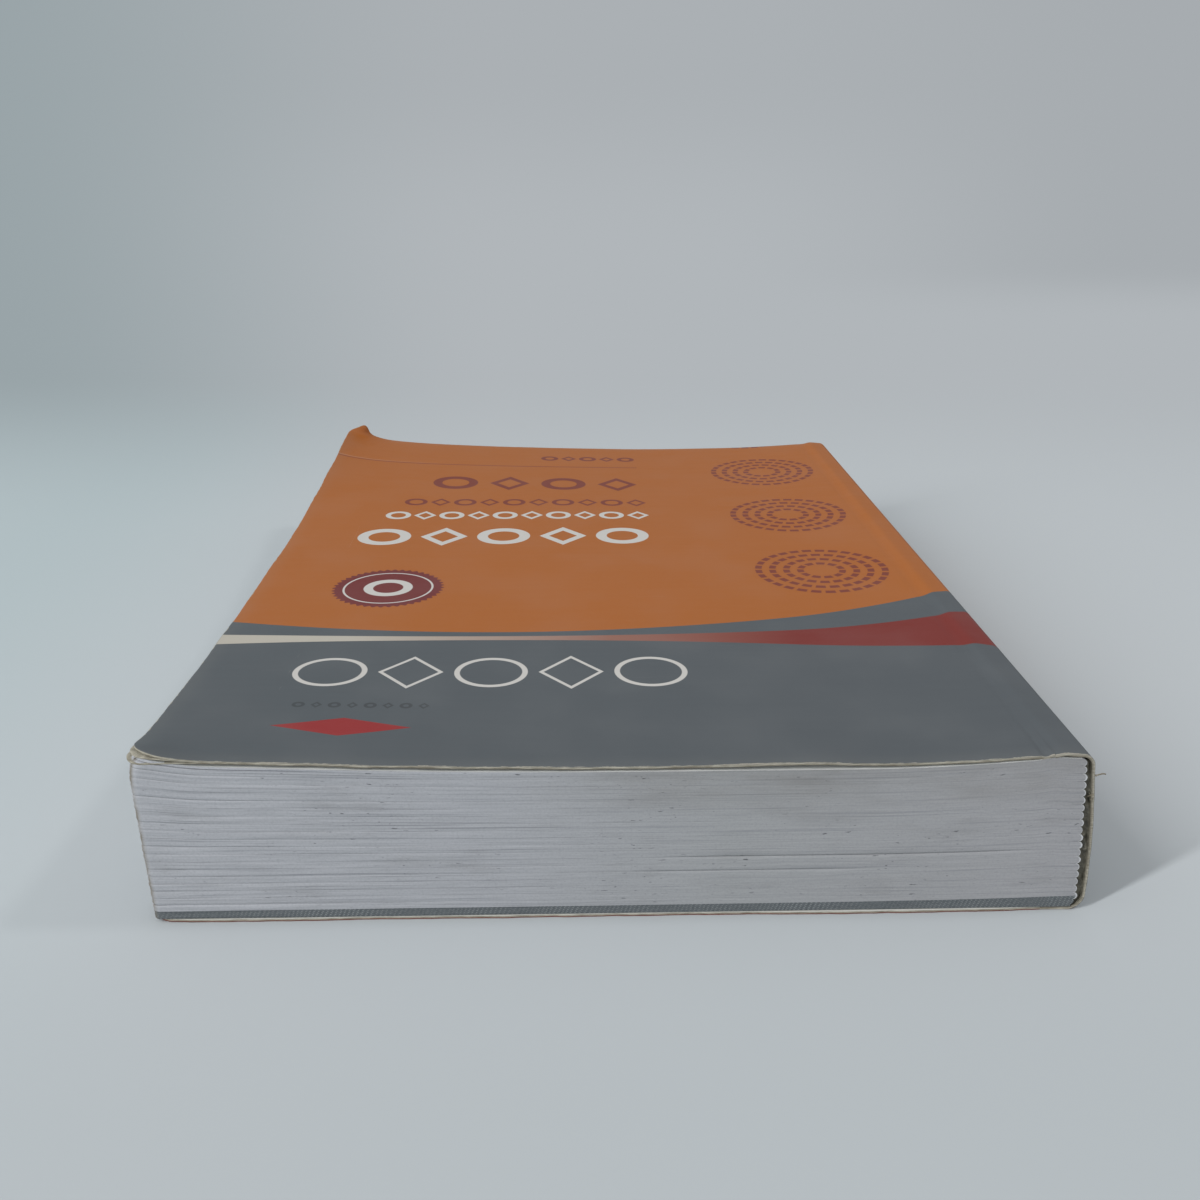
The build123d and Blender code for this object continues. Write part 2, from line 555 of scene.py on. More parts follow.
@dataclass(frozen=True)
class RowOfShapes:
    """A plain ornament: rings and lozenges in turn, along a straight row. Sizes in mm."""

    left: float
    right: float
    middle: float
    half: float
    stroke: float
    pitch: float

    def mask(self, bench: Bench, x: Term, y: Term) -> Term:
        """Where the row's ink lies.

        Args:
            bench: The tree to draw in.
            x: Place across, in mm.
            y: Place along, in mm.

        Returns:
            1 inside a shape, 0 outside.
        """
        step = bench.math("DIVIDE", x - self.left, self.pitch)
        local = (bench.math("FRACT", step) - 0.5) * self.pitch
        odd = bench.math("MODULO", bench.math("FLOOR", step), 2.0)
        up = y - self.middle
        ring = bench.math("SQRT", local * local + up * up)
        lozenge = (local.size() * 1.25 + up.size()) * 0.9
        reach = ring + (lozenge - ring) * odd
        line = (reach - (self.half - self.stroke / 2)).size().within(self.stroke / 2, 0.12)
        ends = (x - (self.left + self.right) / 2).size().within((self.right - self.left) / 2, 0.05)
        return line * ends


@dataclass(frozen=True)
class CoverPrint:
    """The print on the unfolded card: fields of colour, a fading band and plain ornaments. Sizes in mm."""

    fore_x: float
    head_y: float
    spine_middle: float

    def build(self) -> bpy.types.NodeTree:
        """The group that turns a place on the card into its ink."""
        effect = EffectGroup("Cover print", {"Chart": "Vector"}, {"Ink": "Color"})
        bench = effect.bench
        across, along, _ = bench.split(effect.taken.outputs["Chart"])
        x = across * (1 / MM) + self.fore_x
        y = along * (1 / MM) + self.head_y
        ink = self.fields(bench, x, y)
        ink = self.front_ornaments(bench, x, y, ink)
        effect.give("Ink", ink)
        return effect.tree

    def fields(self, bench: Bench, x: Term, y: Term) -> Socket:
        """Grey at the head, orange beyond a shallow curve and the red band between, alike on both covers."""
        middle = self.spine_middle + self.fore_x
        both = (middle - (x - middle).size()).least(73.5)
        orange = ((both + 20.0) ** 2.0 * 2.13e-3 - 48.95 - y).within(0.0, 0.12)
        step = both + 15.0
        top = step ** 2.0 * 4.0e-4 + (step.most(0.0) ** 3.0) * 7.5e-6 - 51.1
        low = both + 31.0
        bottom = (low.least(0.0) ** 2.0) * -8.5e-4 - (low.most(0.0) ** 2.0) * 7.6e-4 - 53.0
        band = (y - top).within(0.0, 0.12) * (bottom - y).within(0.0, 0.12)
        fade = bench.ramp(
            bench.math("MULTIPLY_ADD", both, 1 / 148.0, 0.5),
            (0.0, Ink.OFF_WHITE.value), (0.16, Ink.OFF_WHITE.value), (0.5, Ink.SALMON.value),
            (0.74, Ink.RED.value), (1.0, Ink.RED.value),
        )
        ground = bench.mix(orange, Ink.GREY.value, Ink.ORANGE.value)
        back_head = (x - middle - 14.0).within(0.0, 1.0)
        foot_band = (1.0 - back_head) * (y - (self.head_y + 9.0)).within(0.0, 0.12)
        return bench.mix(foot_band, bench.mix(band, ground, fade), Ink.RED.value)

    def front_ornaments(self, bench: Bench, x: Term, y: Term, ground: Socket) -> Socket:
        """Rows of plain shapes, a scalloped seal, thin rules and ringed medallions on the front cover."""
        pale = RowOfShapes(-59.5, 12.5, 13.6, 6.4, 2.6, 14.4).mask(bench, x, y)
        pale = pale.most(RowOfShapes(-54.5, 13.5, 31.2, 3.2, 1.3, 6.8).mask(bench, x, y))
        pale = pale.most(RowOfShapes(-58.0, 14.0, -68.5, 6.6, 1.0, 14.4).mask(bench, x, y))
        deep = RowOfShapes(-51.1, 13.5, 43.0, 3.0, 1.2, 6.46).mask(bench, x, y)
        deep = deep.most(RowOfShapes(-46.5, 13.5, 62.0, 6.2, 2.5, 15.0).mask(bench, x, y))
        rule = (y - 81.0).size().within(0.26, 0.1) * (x - 12.5).within(0.0, 0.1)
        deep = deep.most(rule).most(RowOfShapes(-16.0, 12.5, 91.0, 2.6, 1.3, 5.7).mask(bench, x, y))
        deep = deep.most(self.medallions(bench, x, y))
        ink = bench.mix(deep * 0.85, ground, Ink.MAROON.value)
        ink = bench.mix(pale, ink, Ink.PALE.value)
        dots = RowOfShapes(-55.0, -31.0, -83.0, 1.1, 0.6, 3.0).mask(bench, x, y)
        ink = bench.mix(dots * 0.7, ink, Ink.CHARCOAL.value)
        lozenge = ((x + 45.0).size() * 0.3 + (y + 91.5).size()).within(3.4, 0.1)
        ink = bench.mix(lozenge, ink, Ink.BRIGHT_RED.value)
        return self.seal(bench, x, y, ink)

    def seal(self, bench: Bench, x: Term, y: Term, ground: Socket) -> Socket:
        """A maroon disc with a scalloped rim, a thin pale ring and a pale spot."""
        u, v = x + 46.5, y + 23.0
        turn = bench.math("ARCTAN2", v, u)
        scallop = bench.math("COSINE", turn * 44.0) * 0.35
        reach = bench.math("SQRT", u * u + v * v)
        ink = bench.mix((reach - scallop).within(11.6, 0.15), ground, Ink.MAROON.value)
        pale = (reach - 9.4).size().within(0.22, 0.12).most((reach - 4.2).size().within(1.0, 0.15))
        return bench.mix(pale, ink, Ink.PALE.value)

    def medallions(self, bench: Bench, x: Term, y: Term) -> Term:
        """Three sets of dashed rings beside the title's place."""
        turn_step, ring_step = 44.0, 3.1
        v = (bench.math("FRACT", bench.math("DIVIDE", y + 36.0, turn_step)) - 0.5) * turn_step
        u = x - 48.5
        reach = bench.math("SQRT", u * u + v * v)
        ring = bench.math("FRACT", bench.math("DIVIDE", reach, ring_step))
        line = (ring - 0.5).size().within(0.24, 0.06)
        count = bench.math("FLOOR", bench.math("DIVIDE", reach, ring_step)) * 6.0 + 5.0
        dash = bench.math("FRACT", bench.math("ARCTAN2", v, u) * count * (1 / (2 * pi)))
        gap = (dash - 0.5).size().within(0.36, 0.05)
        return (
            line * gap * reach.within(15.4, 0.1) * (reach - 2.9).within(0.0, -0.1)
            * (-36.0 - y).within(0.0, 0.1)
        )


@dataclass(frozen=True)
class PrintedFilm:
    """The card's matt, coated outside: print, faint scuffs, dents, rubbed edges, and a lighter line along a
    crease that is partly painted highlight.
    """

    printing: bpy.types.NodeTree
    rubbing: bpy.types.NodeTree
    rub_mm: float = 0.2

    def build(self) -> bpy.types.Material:
        """The finished material."""
        bench, material, shader = make_material("Printed film")
        chart = bench.chart()
        ink = bench.group(self.printing, Chart=chart).outputs["Ink"]
        rubbed = bench.group(self.rubbing, Chart=chart, Width=self.rub_mm * MM)
        cloud = bench.noise(chart, 55.0, 3.0)
        grain = bench.noise(chart, 2600.0, 2.0)
        scuffs = bench.noise(bench.stretch(chart, 30.0, 420.0, 1.0), 1.0, 3.0, 0.6)
        dusty = bench.mix(bench.spread(cloud, 0.35, 0.75, 0.0, 0.05), ink, colour(170, 172, 172))
        scuffed = bench.mix(bench.spread(scuffs, 0.66, 0.85, 0.0, 0.12), dusty, colour(176, 178, 178))
        worn = bench.mix(Term(bench, rubbed.outputs["Near"]) * 0.06, scuffed, colour(150, 148, 140))
        bare = bench.mix(grain, colour(142, 137, 124), colour(176, 171, 158))
        across, along, _ = bench.split(chart)
        # A lighter orange line along the handling crease near the tail: partly painted highlight of the
        # crease, partly rubbed print.
        crease_highlight_and_rub = (along - 187.2 * MM).size().within(0.2 * MM, 0.2 * MM) * bench.spread(across, 0.036, 0.008)
        worn = bench.mix(crease_highlight_and_rub * bench.spread(scuffs, 0.3, 0.6, 0.2, 0.7), worn, colour(176, 142, 122))
        bench.put(shader.inputs["Base Color"], bench.mix(rubbed.outputs["Rub"], worn, bare))
        bench.put(shader.inputs["Roughness"], bench.spread(cloud, 0.2, 0.8, 0.46, 0.6) + scuffs * 0.08)
        shader.inputs["Specular IOR Level"].default_value = 0.32
        dents = bench.noise(chart, 140.0, 3.0) * 0.6 + grain * 0.08 + scuffs * 0.05
        bench.put(shader.inputs["Normal"], bench.bump(dents, 0.00010, 0.5))
        return material


@dataclass(frozen=True)
class CardCore:
    """The raw, fibrous cut edge of the card: a line of ink outside, pale plies, and darker brown plies
    inside, partly dirt and partly painted shade under the card's edge.
    """

    printing: bpy.types.NodeTree
    fibre: bpy.types.NodeTree
    name: str
    darkened: float
    ink: float

    def build(self) -> bpy.types.Material:
        """The finished material."""
        bench, material, shader = make_material(self.name)
        place = bench.node("TexCoord").outputs["Object"]
        ply = Term(bench, bench.node("Attribute", attribute_name="Ply").outputs["Fac"])
        layers = bench.group(self.fibre, Vector=bench.stretch(place, 0.5, 0.5, 5.0), Length=0.0009)
        fibres = Term(bench, layers.outputs["Fibre"])
        dirt = bench.noise(place, 160.0, 4.0, 0.65)
        level = ply + (dirt - 0.5) * 0.5
        pale = bench.mix(bench.spread(fibres, 0.3, 0.7), colour(138, 134, 121), colour(186, 182, 168))
        tint = bench.mix(bench.spread(dirt, 0.45, 0.75, 0.0, 0.45), pale, colour(112, 105, 92))
        shade_and_dirt_brown = bench.mix(fibres, colour(78, 72, 62), colour(124, 116, 103))
        # Inner plies go over to brown: partly dirt, partly painted shade under the card's edge.
        tint = bench.mix(bench.spread(level, 0.5, 0.66, 0.0, self.darkened), tint, shade_and_dirt_brown)
        ink = bench.group(self.printing, Chart=bench.chart()).outputs["Ink"]
        edge = bench.spread(ply + (dirt - 0.5) * 0.25, self.ink + 0.05, self.ink - 0.05, 0.0, 0.8)
        tint = bench.mix(edge, tint, ink)
        bench.put(shader.inputs["Base Color"], tint)
        shader.inputs["Roughness"].default_value = 0.95
        shader.inputs["Specular IOR Level"].default_value = 0.15
        bench.put(shader.inputs["Normal"], bench.bump(fibres + dirt * 0.6, 0.00012))
        return material


@dataclass(frozen=True)
class CardInside:
    """The card's plain, uncoated inside."""

    fibre: bpy.types.NodeTree

    def build(self) -> bpy.types.Material:
        """The finished material."""
        bench, material, shader = make_material("Card inside")
        chart = bench.chart()
        sheet = bench.group(self.fibre, Vector=chart, Length=0.0011)
        cloud, fibres = Term(bench, sheet.outputs["Cloud"]), Term(bench, sheet.outputs["Fibre"])
        clean = bench.mix(bench.spread(cloud, 0.2, 0.8), colour(200, 200, 194), colour(206, 206, 201))
        flecked = bench.mix(bench.spread(fibres, 0.6, 0.8, 0.0, 0.2), clean, colour(176, 172, 162))
        bench.put(shader.inputs["Base Color"], flecked)
        shader.inputs["Roughness"].default_value = 0.85
        shader.inputs["Specular IOR Level"].default_value = 0.2
        bench.put(shader.inputs["Normal"], bench.bump(fibres, 0.00004))
        return material


@dataclass(frozen=True)
class LeafEdges:
    """Cut edges of hundreds of thin leaves. The chart's second part counts up through them, in metres."""

    thickness: float
    sections: int
    length: float
    fold: float

    def build(self) -> bpy.types.Material:
        """The finished material."""
        bench, material, shader = make_material("Leaf edges")
        chart = bench.chart()
        across, up, _ = bench.split(chart)
        share = across * (1 / (self.length * MM))
        section = up * (self.sections / (self.thickness * MM))
        paper, relief = self.paper(bench, chart, share)
        parting = self.parting(bench, chart, share, section)
        grey = self.last_section(bench, chart)
        height = section - (share ** 8.0) * 0.38
        tint = bench.mix(bench.spread(height, 1.17, 1.11), paper, grey)
        # Painted shade: dark lines in the partings between sections.
        tint = bench.mix(parting * bench.spread(section, 0.9, 1.1), tint, colour(98, 100, 104))
        tint = bench.mix(self.specks(bench, chart), tint, colour(74, 75, 80))
        # Painted highlight round the outer line of each fold.
        tint = bench.mix(self.fold_highlight(bench, across, section), tint, colour(204, 206, 208))
        # Brown soiling close to the fore-edge.
        soil = bench.noise(chart, 260.0, 3.0)
        darkened = bench.spread(share.size(), 0.009, 0.0) * bench.spread(soil, 0.3, 0.65, 0.35, 0.95)
        bench.put(shader.inputs["Base Color"], bench.mix(darkened, tint, colour(112, 106, 94)))
        shader.inputs["Roughness"].default_value = 0.9
        shader.inputs["Specular IOR Level"].default_value = 0.2
        bench.put(shader.inputs["Normal"], bench.bump(relief - parting * 0.8, 0.00010, 0.7))
        return material

    def fold_highlight(self, bench: Bench, across: Term, section: Term) -> Term:
        """A painted highlight on the outer line of each fold, round its arc."""
        local = (bench.math("FRACT", section) - 0.5).size()
        arc = bench.math("SQRT", (local ** 2.0 * -4.0 + 1.0).most(0.0)) * (self.fold * MM)
        depth = arc + self.length * MM - across
        return bench.spread(depth, 0.26 * MM, 0.1 * MM) * bench.spread(section, 0.95, 1.0) * 0.75

    def paper(self, bench: Bench, chart: Socket, share: Term) -> tuple[Socket, Term]:
        """Streaks of single leaves, grain, faint grey clouds and a mottled darkening high up towards the
        folds; whiter towards the fore-edge.

        Args:
            bench: The tree to draw in.
            chart: Places on the squared-up leaves.
            share: From 0 at the fore-edge to 1 at the folds.

        Returns:
            The colour and the relief.
        """
        _, up, _ = bench.split(chart)
        leaves = bench.noise(bench.stretch(chart, 90.0, 7000.0, 1.0), 1.0, 4.0, 0.7)
        sheets = bench.noise(bench.stretch(chart, 22.0, 1700.0, 1.0), 1.0, 4.0, 0.65)
        grain = bench.noise(chart, 2400.0, 3.0, 0.6)
        cloud = bench.noise(bench.stretch(chart, 45.0, 150.0, 1.0), 1.0, 5.0, 0.65)
        white = bench.ramp(
            share,
            (0.0, colour(178, 180, 185)), (0.35, colour(174, 176, 181)), (0.62, colour(164, 166, 168)),
            (1.0, colour(165, 165, 168)),
        )
        tint = bench.mix(bench.spread(leaves, 0.35, 0.68, 0.0, 0.26), white, colour(120, 124, 128))
        tint = bench.mix(bench.spread(sheets, 0.52, 0.68, 0.0, 0.34), tint, colour(116, 119, 126))
        # Thin dark lines at random heights, like the partings: painted shade of small gaps between leaves.
        lines = bench.noise(bench.stretch(chart, 14.0, 2600.0, 1.0), 1.0, 2.0, 0.5)
        lines = bench.spread(lines, 0.6, 0.72) * bench.spread(share, 0.9, 0.4, 0.15, 0.5)
        tint = bench.mix(lines, tint, colour(104, 106, 110))
        tint = bench.mix(bench.spread(grain, 0.42, 0.72, 0.0, 0.2), tint, colour(124, 128, 134))
        tint = bench.mix(bench.spread(cloud, 0.48, 0.78, 0.0, 0.34), tint, colour(122, 122, 122))
        high = bench.spread(up, 0.62 * self.thickness * MM, 0.97 * self.thickness * MM)
        high = high * bench.spread(share, 0.3, 0.65)
        tint = bench.mix(high * bench.spread(cloud, 0.3, 0.6, 0.1, 0.4), tint, colour(124, 122, 118))
        return tint, leaves * 0.5 + sheets * 0.5 + grain * 0.3

    def parting(self, bench: Bench, chart: Socket, share: Term, section: Term) -> Term:
        """Painted shade in the partings where sections meet: dark lines, plain near the fore-edge and broken
        towards the folds.
        """
        local = (bench.math("FRACT", section) - 0.5).size()
        broken = bench.noise(bench.stretch(chart, 60.0, 730.0, 1.0), 1.0, 3.0, 0.6)
        near = bench.spread(share, 0.8, 0.1, 0.08, 0.6)
        near = near.most(bench.spread(share, 0.985, 0.997, 0.0, 0.6))
        return bench.spread(local, 0.455, 0.5) * bench.spread(broken, 0.34, 0.62) * near

    def last_section(self, bench: Bench, chart: Socket) -> Socket:
        """The last section is printed grey to its edges, and shows a fine screen of dots."""
        across, up, _ = bench.split(chart)
        slow = bench.noise(bench.stretch(chart, 55.0, 55.0, 1.0), 1.0, 2.0)
        fine = bench.noise(chart, 2500.0, 2.0)
        wave = bench.math("SINE", across * 9000.0 + up * 6000.0 + slow * 30.0)
        wave = wave * bench.math("SINE", up * 9500.0)
        dots = bench.spread(wave, 0.1, 0.8) * bench.spread(slow, 0.35, 0.65, 0.25, 1.0)
        ground = bench.mix(bench.spread(fine, 0.3, 0.7), colour(90, 95, 98), colour(104, 109, 112))
        return bench.mix(dots * 0.6, ground, colour(150, 156, 158))

    def specks(self, bench: Bench, chart: Socket) -> Term:
        """Nicks and specks of dirt, long along the leaves."""
        fine = bench.noise(bench.stretch(chart, 620.0, 2600.0, 1.0), 1.0, 2.0)
        where = bench.noise(bench.stretch(chart, 45.0, 170.0, 1.0), 1.0, 2.0)
        return bench.spread(fine, 0.655, 0.73) * bench.spread(where, 0.44, 0.62, 0.0, 0.85)


@dataclass(frozen=True)
class LeafFace:
    """The first and last page, seen when a cover is opened."""

    fibre: bpy.types.NodeTree

    def build(self) -> bpy.types.Material:
        """The finished material."""
        bench, material, shader = make_material("Leaf face")
        place = bench.node("TexCoord").outputs["Object"]
        sheet = bench.group(self.fibre, Vector=place, Length=0.0008)
        cloud, fibres = Term(bench, sheet.outputs["Cloud"]), Term(bench, sheet.outputs["Fibre"])
        clean = bench.mix(bench.spread(cloud, 0.2, 0.8), colour(201, 203, 202), colour(207, 208, 206))
        bench.put(shader.inputs["Base Color"], clean)
        shader.inputs["Roughness"].default_value = 0.8
        shader.inputs["Specular IOR Level"].default_value = 0.2
        bench.put(shader.inputs["Normal"], bench.bump(fibres * 0.4 + cloud, 0.00003))
        return material


@dataclass(frozen=True)
class DriedGlue:
    """Old adhesive, brown-grey, lumpy and a little shiny."""

    def build(self) -> bpy.types.Material:
        """The finished material."""
        bench, material, shader = make_material("Dried glue")
        place = bench.node("TexCoord").outputs["Object"]
        lumps = bench.noise(place, 900.0, 4.0, 0.6)
        tint = bench.mix(bench.spread(lumps, 0.3, 0.75), colour(78, 76, 66), colour(122, 118, 105))
        bench.put(shader.inputs["Base Color"], tint)
        bench.put(shader.inputs["Roughness"], bench.spread(lumps, 0.3, 0.7, 0.45, 0.75))
        bench.put(shader.inputs["Normal"], bench.bump(lumps, 0.0003))
        return material


@dataclass(frozen=True)
class LooseFibre:
    """Frayed card fibres, soiled brown."""

    def build(self) -> bpy.types.Material:
        """The finished material."""
        bench, material, shader = make_material("Loose fibre")
        place = bench.node("TexCoord").outputs["Object"]
        mottle = bench.noise(place, 1800.0, 2.0)
        bench.put(shader.inputs["Base Color"], bench.mix(mottle, colour(92, 84, 70), colour(140, 132, 114)))
        shader.inputs["Roughness"].default_value = 0.9
        return material


@dataclass(frozen=True)
class StudioPaper:
    """A pale sweep of background paper. Near the book it takes the lamps' light, with painted shade towards
    the camera and on the left; the camera sees its far part as a glow, with painted shade higher up, on the
    left and far to the right.
    """

    def build(self) -> bpy.types.Material:
        """The finished material."""
        bench, material, shader = make_material("Studio paper")
        place = bench.node("TexCoord").outputs["Object"]
        aside, back, up = bench.split(place)
        cloud = bench.noise(place, 2.0, 2.0)
        near = bench.mix(bench.spread(cloud, 0.3, 0.7), colour(188, 193, 196), colour(190, 195, 198))
        # Painted shade: darker towards the camera, in front of the book's head.
        near = bench.mix(bench.spread(back, -0.07, -0.15), near, colour(180, 186, 189))
        # Painted shade: darker and bluer on the left.
        near = bench.mix(bench.spread(aside, -0.06, -0.18), near, colour(177, 189, 192))
        bench.put(shader.inputs["Base Color"], near)
        shader.inputs["Roughness"].default_value = 0.95
        shader.inputs["Specular IOR Level"].default_value = 0.1
        side = bench.math("DIVIDE", aside, (back + 0.27).most(0.1))
        # The glow the camera sees far off, with painted shade: darker higher up, on the left, and far to the
        # right.
        shown = bench.mix(bench.spread(up, 0.01, 0.2), colour(177, 182, 186), colour(171, 176, 180))
        shown = bench.mix(bench.spread(side, -0.05, -0.47), shown, colour(153, 164, 168))
        right = bench.spread(side, 0.1, 0.46) * bench.spread(back, 0.6, 1.0)
        shown = bench.mix(right, shown, colour(167, 172, 176))
        glow = bench.node("Emission")
        bench.put(glow.inputs["Color"], shown)
        # Camera rays see more and more of the glow from 0.1 m to 0.4 m back; all other rays see the lit
        # paper.
        seen = Term(bench, bench.node("LightPath").outputs["Is Camera Ray"]) * bench.spread(back, 0.1, 0.4)
        both = bench.node("MixShader")
        for index, value in enumerate((seen, shader.outputs[0], glow.outputs[0])):
            bench.put(both.inputs[index], value)
        output = next(n for n in material.node_tree.nodes if n.type == "OUTPUT_MATERIAL")
        bench.put(output.inputs[0], both.outputs[0])
        return material


# ---------------------------------------------------------------- the wrap cover


@dataclass
class WrapCover:
    """The wrap cover of one card, as its front panel, glued spine and back panel. Sizes in mm."""

    groups: dict[str, bpy.types.NodeTree]
    front_columns: tuple[float, ...] = (0, 6, 20, 60, 132, 138.4, 141.4)
    front_shares: tuple[float, ...] = (0, 0.12, 0.26, 0.52, 0.86, 0.91, 1.0)
    rows: tuple[float, ...] = (0, 8, 24, 170, 198, 210)
    row_shares: tuple[float, ...] = (0, 0.12, 0.24, 0.74, 0.88, 1.0)
    beyond: float = 1.0
    worn_corner: float = 5.4
    corner: float = 1.2
    back_corner: float = 3.0
    top_radius: float = 1.9
    bottom_radius: float = 2.6

    def __post_init__(self) -> None:
        """Works out the unfolded card and makes its finishes."""
        self.height = BOOK.tail_y - BOOK.head_y
        self.profile, self.run = self.spine_profile()
        self.front_width = BOOK.front_crease[0] + self.beyond - BOOK.fore_x
        self.back_start = self.front_width + self.run[-1]
        self.back_width = BOOK.back_crease[0] + self.beyond - BOOK.fore_x - BOOK.fore_lean
        fibre = self.groups["fibre"]
        printing = CoverPrint(BOOK.fore_x, BOOK.head_y, self.front_width + self.run[-1] / 2).build()
        rubbing = edge_rub_group(self.back_start + self.back_width, self.height)
        self.film = PrintedFilm(printing, rubbing).build()
        self.inside = CardInside(fibre).build()
        # The front card's inner plies are darkened most, partly dirt and partly painted shade under its edge;
        # the back card's less.
        self.core = CardCore(printing, fibre, "Card core", darkened=0.6, ink=0.12).build()
        self.back_core = CardCore(printing, fibre, "Back card core", darkened=0.2, ink=0.42).build()
        self.glued = DriedGlue().build()

    def spine_profile(self) -> tuple[Array, Array]:
        """The card's outer line from one seam to the other, and the distance run along it."""
        start = BOOK.front_crease[0] + self.beyond
        lean = BOOK.spine_lean / BOOK.top_z
        top_turn = BOOK.spine_x - BOOK.spine_lean - self.top_radius
        strip = np.linspace(start, top_turn, 24)
        angle = np.linspace(pi / 2, -lean, 12)[1:]
        high = BOOK.board(np.array([top_turn]))[0] - self.top_radius
        top = np.column_stack(
            [top_turn + self.top_radius * np.cos(angle), high + self.top_radius * np.sin(angle)]
        )
        angle = np.linspace(-lean, -pi / 2, 12)
        low = BOOK.spine_x - self.bottom_radius * (1 + lean)
        turn = np.column_stack([np.cos(angle), 1 + np.sin(angle)]) * self.bottom_radius
        last = np.linspace(low, BOOK.back_crease[0] + self.beyond, 12)[1:]
        flat = np.column_stack([last, np.zeros_like(last)])
        line = np.concatenate([np.column_stack([strip, BOOK.board(strip)]), top, turn + (low, 0), flat])
        steps = np.hypot(*np.diff(line, axis=0).T)
        run = np.concatenate([[0.0], np.cumsum(steps)])
        even = np.linspace(0, run[-1], 160)
        line = np.column_stack([np.interp(even, run, line[:, 0]), np.interp(even, run, line[:, 1])])
        line[:, 0] += BOOK.swell(line[:, 1])
        return line, even

    def inner_wall(self) -> Array:
        """The inside of the spine as a line of points, from table to top."""
        along = np.gradient(self.profile, axis=0)
        along /= np.hypot(*along.T)[:, None]
        inside = self.profile + np.column_stack([along[:, 1], -along[:, 0]]) * BOOK.card
        upright = inside[np.abs(along[:, 1]) > 0.2]
        return upright[np.argsort(upright[:, 1])]

    def thicken(
        self, sheet: bpy.types.Object, inside: bpy.types.Material, core: bpy.types.Material
    ) -> bpy.types.Object:
        """Gives a sheet the card's thickness and finishes.

        Args:
            sheet: The card's outer face.
            inside: Finish of its inner face.
            core: Finish of its cut edge.

        Returns:
            The same object, as a solid card. Its attribute Ply runs from 0 outside to 1 inside.
        """
        outer = len(sheet.data.vertices)
        dress(sheet, self.film, inside, core)
        deep = BOOK.card * MM
        apply(sheet, "SOLIDIFY", thickness=deep, offset=-1.0, material_offset=1, material_offset_rim=2)
        ply = sheet.data.attributes.new("Ply", "FLOAT", "POINT")
        ply.data.foreach_set("value", (np.arange(len(sheet.data.vertices)) >= outer).astype(np.float32))
        self.soften_rim(sheet)
        smooth(sheet, 50.0)
        return sheet

    def soften_rim(self, sheet: bpy.types.Object) -> None:
        """Rounds the card's cut edges, but not where two pieces of it meet."""
        mesh = pick(sheet).data
        bpy.ops.object.mode_set(mode="EDIT")
        bpy.ops.mesh.select_mode(type="EDGE")
        bpy.ops.mesh.select_all(action="DESELECT")
        bpy.ops.mesh.edges_select_sharp(sharpness=radians(60))
        bpy.ops.object.mode_set(mode="OBJECT")
        corners = np.empty(len(mesh.loops), dtype=np.int32)
        mesh.loops.foreach_get("vertex_index", corners)
        chart = np.empty(len(mesh.loops) * 2)
        mesh.uv_layers[CHART].data.foreach_get("uv", chart)
        across = np.empty(len(mesh.vertices))
        across[corners] = chart[::2] / MM
        ends = np.empty(len(mesh.edges) * 2, dtype=np.int32)
        mesh.edges.foreach_get("vertices", ends)
        ends = ends.reshape(-1, 2)
        chosen = np.empty(len(mesh.edges), dtype=bool)
        mesh.edges.foreach_get("select", chosen)
        for seam in (self.front_width, self.back_start):
            chosen &= ~(np.abs(across[ends] - seam) < 0.01).all(axis=1)
        touched = np.zeros(len(mesh.vertices), dtype=bool)
        touched[ends[chosen]] = True
        mesh.vertices.foreach_set("select", touched)
        mesh.edges.foreach_set("select", chosen)
        mesh.polygons.foreach_set("select", np.zeros(len(mesh.polygons), dtype=bool))
        bpy.ops.object.mode_set(mode="EDIT")
        bpy.ops.mesh.bevel(offset_type="OFFSET", offset=0.07 * MM, segments=2, affect="EDGES")
        bpy.ops.object.mode_set(mode="OBJECT")

    def ragged(self, place: Array, seed: int) -> Array:
        """How far a cut edge is worn back at places along it."""
        level = 0 * place
        return 0.08 + 0.08 * ripple(place, level, 17.0, seed) + 0.05 * ripple(place, level, 2.6, seed + 1)

    def rows_at(self, share: Array) -> Array:
        """Distance from the head for a share of the rows, closer together near head and tail."""
        return np.interp(share, self.row_shares, self.rows)

    def worn_ends(self, across: Array, along: Array) -> Array:
        """How far wear moves a place along the spine's direction: inwards at head and tail."""
        at_head = self.ragged(across, 31) * np.exp(-along / 1.5)
        return at_head - self.ragged(across, 41) * np.exp(-(self.height - along) / 1.5)

    def place_front(self, s: Array, t: Array) -> tuple[Array, Array]:
        """The front panel's points and chart."""
        across = np.interp(s, self.front_shares, self.front_columns)
        across, along = round_corner(across, self.rows_at(t), self.worn_corner)
        across, tail = round_corner(across, self.height - along, self.corner)
        along = self.height - tail
        across = across + self.ragged(along, 21) * np.exp(-across / 1.5)
        along = along + self.worn_ends(across, along)
        x, y = BOOK.fore_x + across, BOOK.head_y + along
        tip = np.exp(-((across / 4.5) ** 2) - (tail / 2.6) ** 2)
        flare = 0.15 * np.exp(-((along / 30.0) ** 2) - across / 10.0)
        handled = 0.14 * np.exp(-(((y - 82.2) / 0.7) ** 2)) * (1 - ease((across - 18.0) / 25.0))
        z = BOOK.outside(x, y) + 0.9 * tip - handled
        return np.column_stack([x + 4.3 * tip - flare, y - 1.0 * tip, z]), np.column_stack([across, along])

